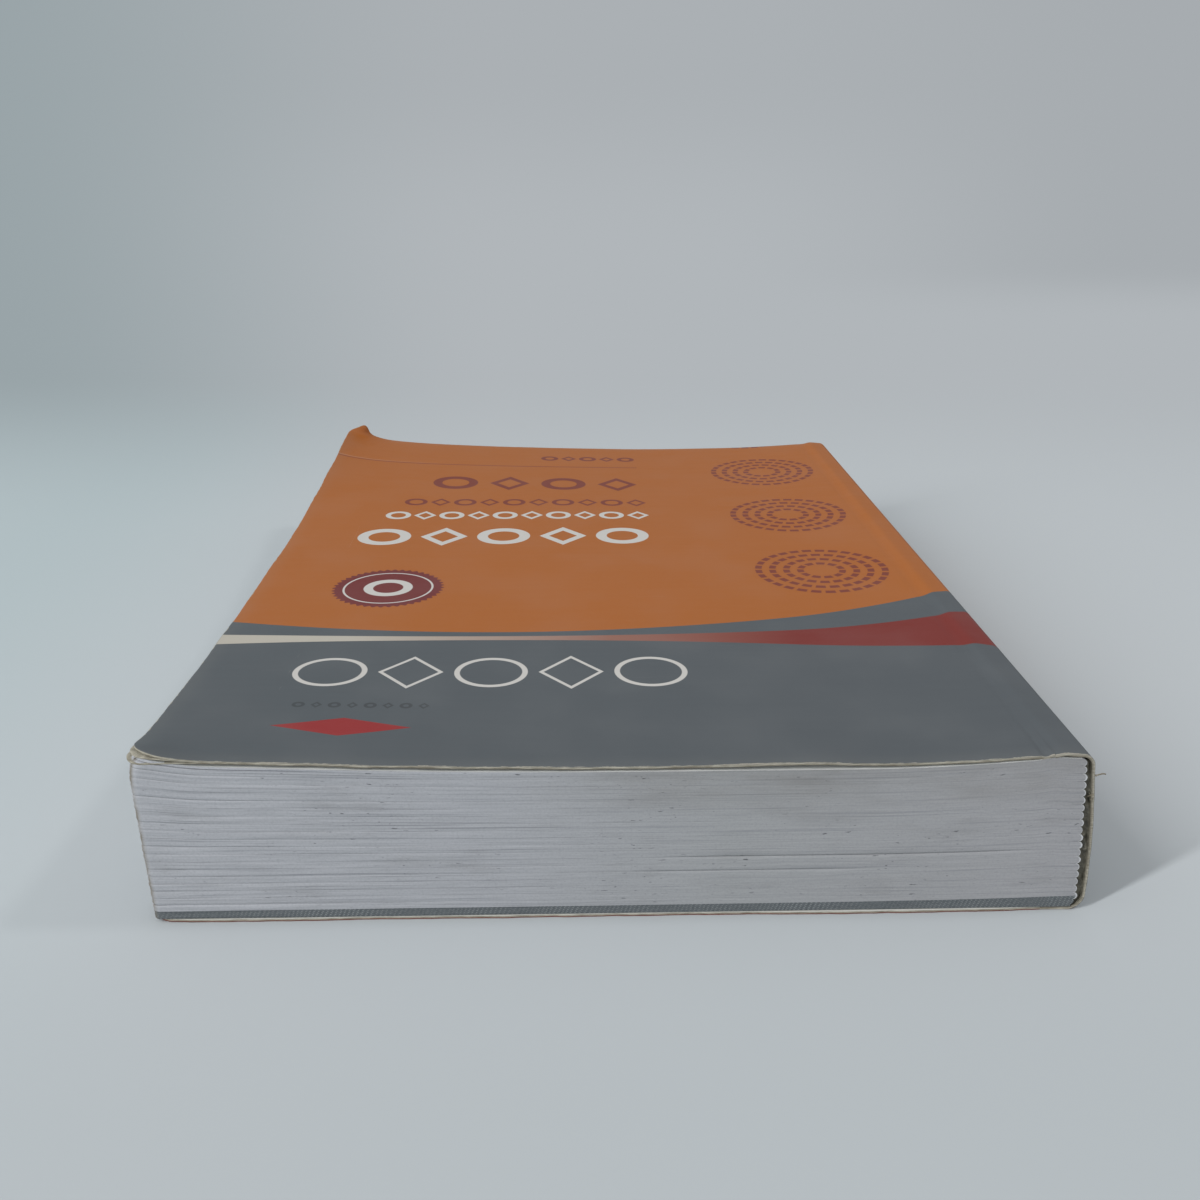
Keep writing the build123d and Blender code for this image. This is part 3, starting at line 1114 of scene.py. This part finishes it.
    def place_spine(self, s: Array, t: Array) -> tuple[Array, Array]:
        """The glued stretch's points and chart."""
        run = s * self.run[-1]
        along = self.rows_at(t)
        x = np.interp(run, self.run, self.profile[:, 0])
        z = np.interp(run, self.run, self.profile[:, 1])
        on_side = ease((run - 6.0) / 4.0) * ease((self.run[-1] - 7.0 - run) / 4.0)
        swell = on_side * 0.12 * ripple(run, 0 * run, 21.0, 51) * np.exp(-along / 9.0)
        creases = sum(np.exp(-(((run - place) / 0.35) ** 2)) for place in (13.5, 17.0, 22.5))
        creases = creases * (1 - np.exp(-along / 3.0))
        cut = self.worn_ends(self.front_width + run, along)
        x = x + swell + on_side * (0.05 * ripple(run, along, 40.0, 52) - 0.06 * creases)
        points = np.column_stack([x, BOOK.head_y + along + cut, z])
        return points, np.column_stack([self.front_width + run, along])

    def place_back(self, s: Array, t: Array) -> tuple[Array, Array]:
        """The back panel's points and chart, flat on the table."""
        left = (1 - s) * self.back_width
        left, along = round_corner(left, self.rows_at(t), self.back_corner)
        left, tail = round_corner(left, self.height - along, self.corner)
        along = self.height - tail
        left = left + self.ragged(along, 71) * np.exp(-left / 1.5)
        chart = self.back_start + self.back_width - left
        x = BOOK.fore_x + BOOK.fore_lean + left - 0.25
        slipped = (0.1 + 0.3 * np.exp(-(((x - 42.0) / 22.0) ** 2))) * ease((self.back_width - left) / 12.0)
        y = BOOK.head_y + along + self.worn_ends(chart, along) - slipped * np.exp(-along / 60.0)
        x = x + 0.25 * ease(left / 30.0)
        lift = 0.12 * np.exp(-(left**2 + along**2) / 30.0)
        return np.column_stack([x, y, lift]), np.column_stack([chart, along])

    def split_ply(self, order: int) -> bpy.types.Object:
        """One of the thin layers into which the card's worn head corner has split.

        Args:
            order: 1 for the layer under the printed one, 2 for the next.

        Returns:
            The layer, spread at the corner and running into the card away from it.
        """

        def place(s: Array, t: Array) -> tuple[Array, Array]:
            """Points and chart of the layer, before it has a thickness."""
            across, along = s * 15.0, t * 13.0
            across, along = round_corner(across, along, self.worn_corner - 0.9 * order)
            reach = np.exp(-((across / (4.5 + order)) ** 2) - (along / 6.0) ** 2)
            out = (0.2 + 0.35 * order) * reach
            x = BOOK.fore_x + across - out - 0.15 * np.exp(-across / 10.0)
            y = BOOK.head_y + along + 0.1 - 0.2 * out
            z = BOOK.outside(BOOK.fore_x + across, y) - BOOK.card * 0.27 * order - 0.8 * order * reach
            wavy = 0.08 * ripple(across, along, 5.0, 14 + order) * reach
            return np.column_stack([x, y, z + wavy]), np.column_stack([across, along])

        ply = lay_sheet(f"ply_{order}", 36, 30, place)
        count = len(ply.data.vertices)
        dress(ply, self.core, self.inside, self.core)
        apply(ply, "SOLIDIFY", thickness=0.2 * MM, offset=-1.0, material_offset=1, material_offset_rim=2)
        layer = ply.data.attributes.new("Ply", "FLOAT", "POINT")
        # The layer's lower face takes the card core's darker brown: partly dirt, partly painted shade between
        # the split layers.
        depths = np.where(np.arange(len(ply.data.vertices)) >= count, 0.7, 0.45)
        layer.data.foreach_set("value", depths.astype(np.float32))
        smooth(ply)
        return ply

    def hinge(self, panel: bpy.types.Object, crease: tuple[float, float]) -> None:
        """Works out the ends of the panel's crease line, which nothing uses, and bakes the panel's place into
        its mesh.
        """
        start, end = (crease[0] + self.beyond - 0.05, 0, crease[1]), (crease[0] - self.beyond, 0, crease[1])
        [c * MM for c in start]
        [c * MM for c in end]
        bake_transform(panel)

    def build_front(self) -> bpy.types.Object:
        """The front panel, up to just past its score line, with the split layers of its worn corner."""
        panel = self.thicken(lay_sheet("front", 132, 180, self.place_front), self.inside, self.core)
        panel = join("front_cover_card", panel, self.split_ply(1), self.split_ply(2))
        self.hinge(panel, BOOK.front_crease)
        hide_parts("front_cover")
        return panel

    def build_spine(self) -> bpy.types.Object:
        """The glued stretch, which stays on the leaves."""
        sheet = lay_sheet("spine_cover_card", 120, 180, self.place_spine)
        spine = self.thicken(sheet, self.glued, self.core)
        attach(spine, "book_block")
        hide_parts("spine_cover")
        return spine

    def build_back(self) -> bpy.types.Object:
        """The back panel, up to just past its own score line."""
        sheet = lay_sheet("back_cover_card", 120, 180, self.place_back)
        panel = self.thicken(sheet, self.inside, self.back_core)
        self.hinge(panel, BOOK.back_crease)
        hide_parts("back_cover")
        return panel


# ---------------------------------------------------------------- the leaves


@dataclass
class PageBlock:
    """All the leaves, folded in sections, with their cut edges, grooves and rounded folds. Sizes in mm."""

    groups: dict[str, bpy.types.NodeTree]
    across_columns: tuple[float, ...] = (0, 4, 16, 110, 143, 147.2, 148)
    across_shares: tuple[float, ...] = (0, 0.07, 0.17, 0.74, 0.93, 0.975, 1.0)
    columns: int = 120
    rows: int = 96
    section_steps: tuple[float, ...] = (0, 0.08, 0.26, 0.5, 0.74, 0.92)
    top_gap: float = 0.42
    gap_steps: tuple[float, ...] = (0.30, 0.37, 0.42, 0.47, 0.56)
    follow_head: float = 0.95
    follow_tail: float = 0.5
    corner: float = 1.2

    def __post_init__(self) -> None:
        """Lays out the columns, rows and layers that the walls and faces share."""
        shares = np.linspace(0, 1, self.columns + 1)
        columns = np.array(self.across_columns) / self.across_columns[-1]
        self.xs = np.interp(shares, self.across_shares, columns)
        shares = np.linspace(0, 1, self.rows + 1)
        self.ys = np.interp(shares, (0, 0.08, 0.2, 0.86, 1.0), (0, 0.012, 0.06, 0.94, 1.0))
        self.bottom = BOOK.card + BOOK.air
        self.thickness = BOOK.top_z - 2 * (BOOK.card + BOOK.air)
        steps = [(i + step) / BOOK.sections for i in range(BOOK.sections) for step in self.section_steps]
        gap = [1 - step / self.thickness for step in self.gap_steps]
        self.vs = np.array(sorted([v for v in steps if abs(v - gap[2]) > 0.008] + gap + [1.0]))
        chance = np.random.default_rng(12)
        self.shift = chance.uniform(-1, 1, BOOK.sections + 1)
        self.parting = chance.uniform(0.2, 1.0, BOOK.sections + 1)

    def place(self, fx: Array, fy: Array, v: Array) -> Array:
        """A point of the block from its three shares, before its walls are worn.

        Args:
            fx: Share from the fore-edge to the notches between the folds.
            fy: Share from head to tail.
            v: Share up through the leaves.

        Returns:
            Points, in mm.
        """
        length, depth = BOOK.fold_line(0.0) - BOOK.fore_x, 210.0
        across, along = round_corner(fx * length, fy * depth, self.corner + 3.2 * v**24)
        across, tail = round_corner(across, depth - along, self.corner)
        y = BOOK.tail_y - tail
        x = BOOK.fore_x + across
        tailwards = ease((y - BOOK.head_y - 60.0) / 60.0)
        follow = self.follow_head + (self.follow_tail - self.follow_head) * tailwards
        gap = BOOK.card + BOOK.air + 0.1 * (1 - ease((x - 45.0) / 20.0)) + 0.25 * ease(y / 90.0) * (1 - fx)
        flat = self.bottom + v * (BOOK.board(x) - gap - self.bottom)
        z = flat + follow * BOOK.curl(x, y, ear=False) * v**2.2
        low = 1 - v
        swung = (0.35 - 0.45 * v**30) * np.exp(-((along / 45.0) ** 2))
        x = x + (BOOK.fore_lean * low - swung) * (1 - fx) + (BOOK.fold_line(z) - BOOK.fold_line(0.0)) * fx**4
        return np.column_stack([x, y, z])

    def wear(self, points: Array, v: Array, out_y: Array, out_x: Array, fx: Array) -> Array:
        """Moves wall points in and out by section, and rounds the folds.

        Args:
            points: Wall points, in mm.
            v: Share up through the leaves.
            out_y: -1 on the head wall, 1 on the tail wall, 0 elsewhere.
            out_x: -1 on the fore-edge, 1 on the spine side, 0 elsewhere.
            fx: Share from the fore-edge to the folds.

        Returns:
            The moved points.
        """
        section = v * BOOK.sections
        index = np.clip(np.floor(section + 1e-6), 0, BOOK.sections - 1).astype(int)
        w = np.clip(section - index, 0.0, 1.0)
        edge = np.minimum(w, 1 - w)
        boundary = np.where(w > 0.5, index + 1, index)
        x = points[:, 0]
        open_end = 0.12 + 0.88 * (1 - ease(fx / 0.6))
        long_gap = (boundary == 8) * ease((x - 2) / 14) * (1 - ease((x - 56) / 12))
        long_gap += (boundary == 6) * ease((x + 2) / 12) * (1 - ease((x - 30) / 12)) * 0.7
        deep = np.exp(-((edge / 0.07) ** 2)) * (0.08 * open_end * self.parting[boundary] + 0.26 * long_gap)
        below = (1 - v) * self.thickness
        first = np.exp(-(((below - self.top_gap) / 0.05) ** 2)) * (1 - ease((x + 66.0) / 24.0))
        stand = self.shift[index] * 0.03 * open_end + 0.05 * ripple(x, v * 900.0, 30.0, 5) * open_end
        move = stand - deep - 0.5 * first * (out_y < 0)
        points[:, 1] += out_y * move
        points[:, 0] += np.where(out_x < 0, -move * 1.2, 0.0)
        return points

    def folds(self, v: Array) -> Array:
        """How far each section's fold stands out of the line of notches."""
        section = v * BOOK.sections
        index = np.clip(np.floor(section + 1e-6), 0, BOOK.sections - 1).astype(int)
        w = np.clip(section - index, 0.0, 1.0)
        arc = (BOOK.fold + 0.12 * self.shift[index]) * np.sqrt(np.clip(1 - (2 * w - 1) ** 2, 0, 1))
        lowest = 1.0 * np.clip(1 - section, 0.0, 1.0)
        highest = 0.4 * np.clip(section - (BOOK.sections - 0.6), 0.0, 1.0)
        return arc - lowest - highest

    def finish_walls(self, fx: Array, fy: Array, v: Array) -> Array:
        """Worn points for places on the band round the block.

        Args:
            fx: Share from the fore-edge to the folds.
            fy: Share from head to tail.
            v: Share up through the leaves.

        Returns:
            Points, in mm.
        """
        out_y = np.where(fy <= 0, -1.0, np.where(fy >= 1, 1.0, 0.0))
        out_x = np.where(fx <= 0, -1.0, 0.0)
        points = self.wear(self.place(fx, fy, v), v, out_y, out_x, fx)
        points[:, 0] += np.where(fx >= 1, self.folds(v), 0.0)
        return points

    def place_walls(self, s: Array, t: Array) -> tuple[Array, Array]:
        """The band round the block: head, spine side, tail and fore-edge, where the chart runs below 0."""
        nx, ny = self.columns, self.rows
        raw = np.rint(s * 2 * (nx + ny)).astype(int)
        step = raw % (2 * (nx + ny))
        v = self.vs[np.rint(t * (len(self.vs) - 1)).astype(int)]
        head = step < nx
        spine = (step >= nx) & (step < nx + ny)
        tail = (step >= nx + ny) & (step < 2 * nx + ny)
        ix = np.where(head, step, np.where(spine, nx, np.where(tail, 2 * nx + ny - step, 0)))
        iy = np.where(head, 0, np.where(spine, step - nx, np.where(tail, ny, 2 * (nx + ny) - step)))
        fx, fy = self.xs[np.clip(ix, 0, nx)], self.ys[np.clip(iy, 0, ny)]
        points = self.finish_walls(fx, fy, v)
        reach = fx * self.across_columns[-1] + np.where(fx >= 1, self.folds(v), 0.0)
        reach = np.where(fx <= 0, -np.minimum(fy, 1 - fy) * (BOOK.tail_y - BOOK.head_y), reach)
        return points, np.column_stack([reach, v * self.thickness])

    def place_face(self, level: float) -> Callable[[Array, Array], tuple[Array, Array]]:
        """A placer for the first leaf, at level 1, or the last, at level 0."""

        def place(s: Array, t: Array) -> tuple[Array, Array]:
            """Points and chart of the leaf; its rim is the walls' own."""
            fx = self.xs[np.rint(s * self.columns).astype(int)]
            fy = self.ys[np.rint(t * self.rows).astype(int)]
            points = self.finish_walls(fx, fy, np.full_like(fx, level))
            return points, points[:, :2]

        return place

    def build(self) -> bpy.types.Object:
        """The whole block as one closed piece."""
        edges = LeafEdges(self.thickness, BOOK.sections, self.across_columns[-1], BOOK.fold).build()
        face = LeafFace(self.groups["fibre"]).build()
        walls = lay_sheet("walls", 2 * (self.columns + self.rows), len(self.vs) - 1, self.place_walls)
        first = lay_sheet("first_leaf", self.columns, self.rows, self.place_face(1.0))
        last = lay_sheet("last_leaf", self.columns, self.rows, self.place_face(0.0))
        dress(walls, edges)
        dress(first, face)
        dress(last, face)
        block = join("page_block_leaves", walls, first, last)
        weld(block)
        smooth(block, 55.0)
        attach(block, "book_block")
        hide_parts("page_block")
        return block


@dataclass
class SpineGlue:
    """The adhesive that fills the notches between the folds and holds the card. Sizes in mm."""

    wall: Array
    finish: bpy.types.Material
    recess: float = 0.75
    into_folds: float = 0.5
    cuts: int = 30

    def build(self) -> bpy.types.Object:
        """A lumpy layer with uneven ends, from a block cut into small faces."""
        let_go()
        bpy.ops.mesh.primitive_cube_add(size=1.0, location=(0, 0, 0))
        glue = bpy.context.object
        glue.name = glue.data.name = "spine_glue_layer"
        bpy.ops.object.mode_set(mode="EDIT")
        bpy.ops.mesh.select_all(action="SELECT")
        bpy.ops.mesh.subdivide(number_cuts=self.cuts)
        bpy.ops.object.mode_set(mode="OBJECT")
        mesh = glue.data
        flat = np.empty(len(mesh.vertices) * 3)
        mesh.vertices.foreach_get("co", flat)
        share = flat.reshape(-1, 3) + 0.5
        low, high = self.wall[:, 1].min() + 0.1, self.wall[:, 1].max() - 0.1
        z = low + (high - low) * share[:, 2]
        outer = np.interp(z, self.wall[:, 1], self.wall[:, 0]) + 0.02
        inner = np.minimum(BOOK.fold_line(z) - self.into_folds, outer - 0.3)
        half = (BOOK.tail_y - BOOK.head_y) / 2 - self.recess
        up, outwards = share[:, 2] * 25, share[:, 0] * 3
        lumps = 0.28 * ripple(up, outwards, 2.4, 8) + 0.1 * ripple(up, outwards, 0.9, 9)
        y = (share[:, 1] - 0.5) * 2 * (half + lumps)
        x = inner + (outer - inner) * share[:, 0]
        mesh.vertices.foreach_set("co", (np.column_stack([x, y, z]) * MM).ravel())
        mesh.update()
        weld(glue)
        smooth(glue)
        dress(glue, self.finish)
        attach(glue, "book_block")
        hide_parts("spine_glue")
        return glue


@dataclass
class FrayedFibres:
    """Fibres that stand out from the worn card at the head of the spine. Sizes in mm."""

    runs: tuple[tuple[float, tuple[tuple[float, float, float], ...]], ...] = (
        (0.11, (
            (73.0, -104.6, 24.3), (73.6, -104.9, 24.4), (74.2, -105.0, 24.7), (74.7, -105.0, 24.75),
            (74.95, -104.9, 24.6),
        )),
        (0.06, (
            (72.8, -104.7, 20.6), (73.4, -105.0, 21.2), (73.75, -105.0, 20.9), (73.6, -104.9, 20.3),
            (73.2, -104.8, 20.0),
        )),
        (0.05, ((72.9, -104.7, 21.3), (73.3, -105.0, 20.7), (73.5, -105.0, 20.2))),
        (0.05, ((73.0, -104.8, 24.9), (73.3, -105.0, 24.5), (73.5, -105.1, 24.3))),
    )

    def build(self) -> bpy.types.Object:
        """Each fibre as a fine bent tube."""
        finish = LooseFibre().build()
        tubes = []
        for thickness, points in self.runs:
            let_go()
            bpy.ops.curve.primitive_nurbs_path_add(location=(0, 0, 0))
            line = bpy.context.object
            line.data.splines.clear()
            spline = line.data.splines.new("NURBS")
            spline.points.add(len(points) - 1)
            for point, place in zip(spline.points, points):
                point.co = (*(c * MM for c in place), 1.0)
            spline.order_u, spline.use_endpoint_u = 3, True
            line.data.bevel_depth = thickness * MM
            line.data.bevel_resolution = 2
            line.data.use_fill_caps = True
            pick(line)
            bpy.ops.object.convert(target="MESH")
            tubes.append(bpy.context.object)
        fibres = join("frayed_fibres", *tubes)
        weld(fibres, 0.0002 * MM)
        smooth(fibres)
        dress(fibres, finish)
        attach(fibres, "book_block")
        return fibres


# ---------------------------------------------------------------- studio


@dataclass
class Studio:
    """A pale sweep, soft light and the camera. Sizes in metres."""

    lens: float = 36.87
    stand: tuple[float, float, float] = (-0.00824, -0.27176, 0.11606)
    tilt: float = 69.614
    turn: float = -1.637
    roll: float = 0.137
    sky: float = 0.6
    key: float = 39.5
    fill: float = 1.6

    def build(self) -> None:
        """Sets up everything round the book."""
        self.sweep()
        self.light()
        self.camera()
        bpy.context.scene.view_settings.view_transform = "Standard"

    def sweep(self) -> None:
        """Background paper that lies flat and rises in a wide curve behind."""

        flat, radius = 900.0, 700.0

        def place(s: Array, t: Array) -> tuple[Array, Array]:
            """The paper's points and chart, in mm: flat as far each way, then a quarter turn upwards."""
            run = t * 3600.0 - flat
            turn = np.clip((run - flat) / radius, 0, pi / 2)
            y = np.minimum(run, flat) + radius * np.sin(turn)
            z = radius * (1 - np.cos(turn)) + np.clip(run - flat - radius * pi / 2, 0, None)
            x = (s - 0.5) * 4400.0
            return np.column_stack([x, y, z - 0.02]), np.column_stack([x, run])

        paper = lay_sheet("studio_sweep", 4, 72, place)
        smooth(paper)
        dress(paper, StudioPaper().build())

    def light(self) -> None:
        """An even sky, a tall soft lamp on the fore-edge side and a faint one opposite."""
        world = bpy.data.worlds.new("Soft room")
        world.use_nodes = True
        sky = world.node_tree.nodes["Background"]
        sky.inputs["Color"].default_value = (0.97, 0.985, 1.0, 1.0)
        sky.inputs["Strength"].default_value = self.sky
        bpy.context.scene.world = world
        self.lamp(self.key, (-1.65, -1.17, 1.3), (0.14, 1.7))
        self.lamp(self.fill, (0.72, -0.06, 1.0), (0.12, 0.12))

    def lamp(self, power: float, place: tuple[float, float, float], size: tuple[float, float]) -> None:
        """One area lamp, turned to the book.

        Args:
            power: Watts.
            place: Where it hangs.
            size: Width and height.
        """
        let_go()
        bpy.ops.object.light_add(type="AREA", location=place)
        lamp = bpy.context.object
        lamp.data.shape = "RECTANGLE"
        lamp.data.size, lamp.data.size_y = size
        lamp.data.energy = power
        lamp.rotation_euler = (-lamp.location).to_track_quat("-Z", "Y").to_euler()

    def camera(self) -> None:
        """The camera, low at the head end."""
        let_go()
        bpy.ops.object.camera_add()
        camera = bpy.context.object
        camera.data.lens, camera.data.sensor_width = self.lens, 36.0
        camera.data.clip_start = 0.01
        turned = Matrix.Rotation(radians(self.turn), 4, "Z") @ Matrix.Rotation(radians(self.tilt), 4, "X")
        rolled = Matrix.Rotation(radians(self.roll), 4, "Z")
        camera.matrix_world = Matrix.Translation(self.stand) @ turned @ rolled
        bpy.context.scene.camera = camera


def main() -> None:
    """Builds the pieces in order and reports each one."""
    logging.basicConfig(level=logging.INFO, format="%(name)s: %(message)s")
    Studio().build()
    groups = {"fibre": paper_fibre_group()}
    cover = WrapCover(groups)
    glue = SpineGlue(cover.inner_wall(), cover.glued)
    makers = (
        cover.build_front, cover.build_spine, cover.build_back,
        PageBlock(groups).build, glue.build, FrayedFibres().build,
    )
    for make in makers:
        piece = make()
        piece.data.calc_loop_triangles()
        LOG.info("%s: %d triangles", piece.name, len(piece.data.loop_triangles))
    let_go()


if __name__ == "__main__":
    main()
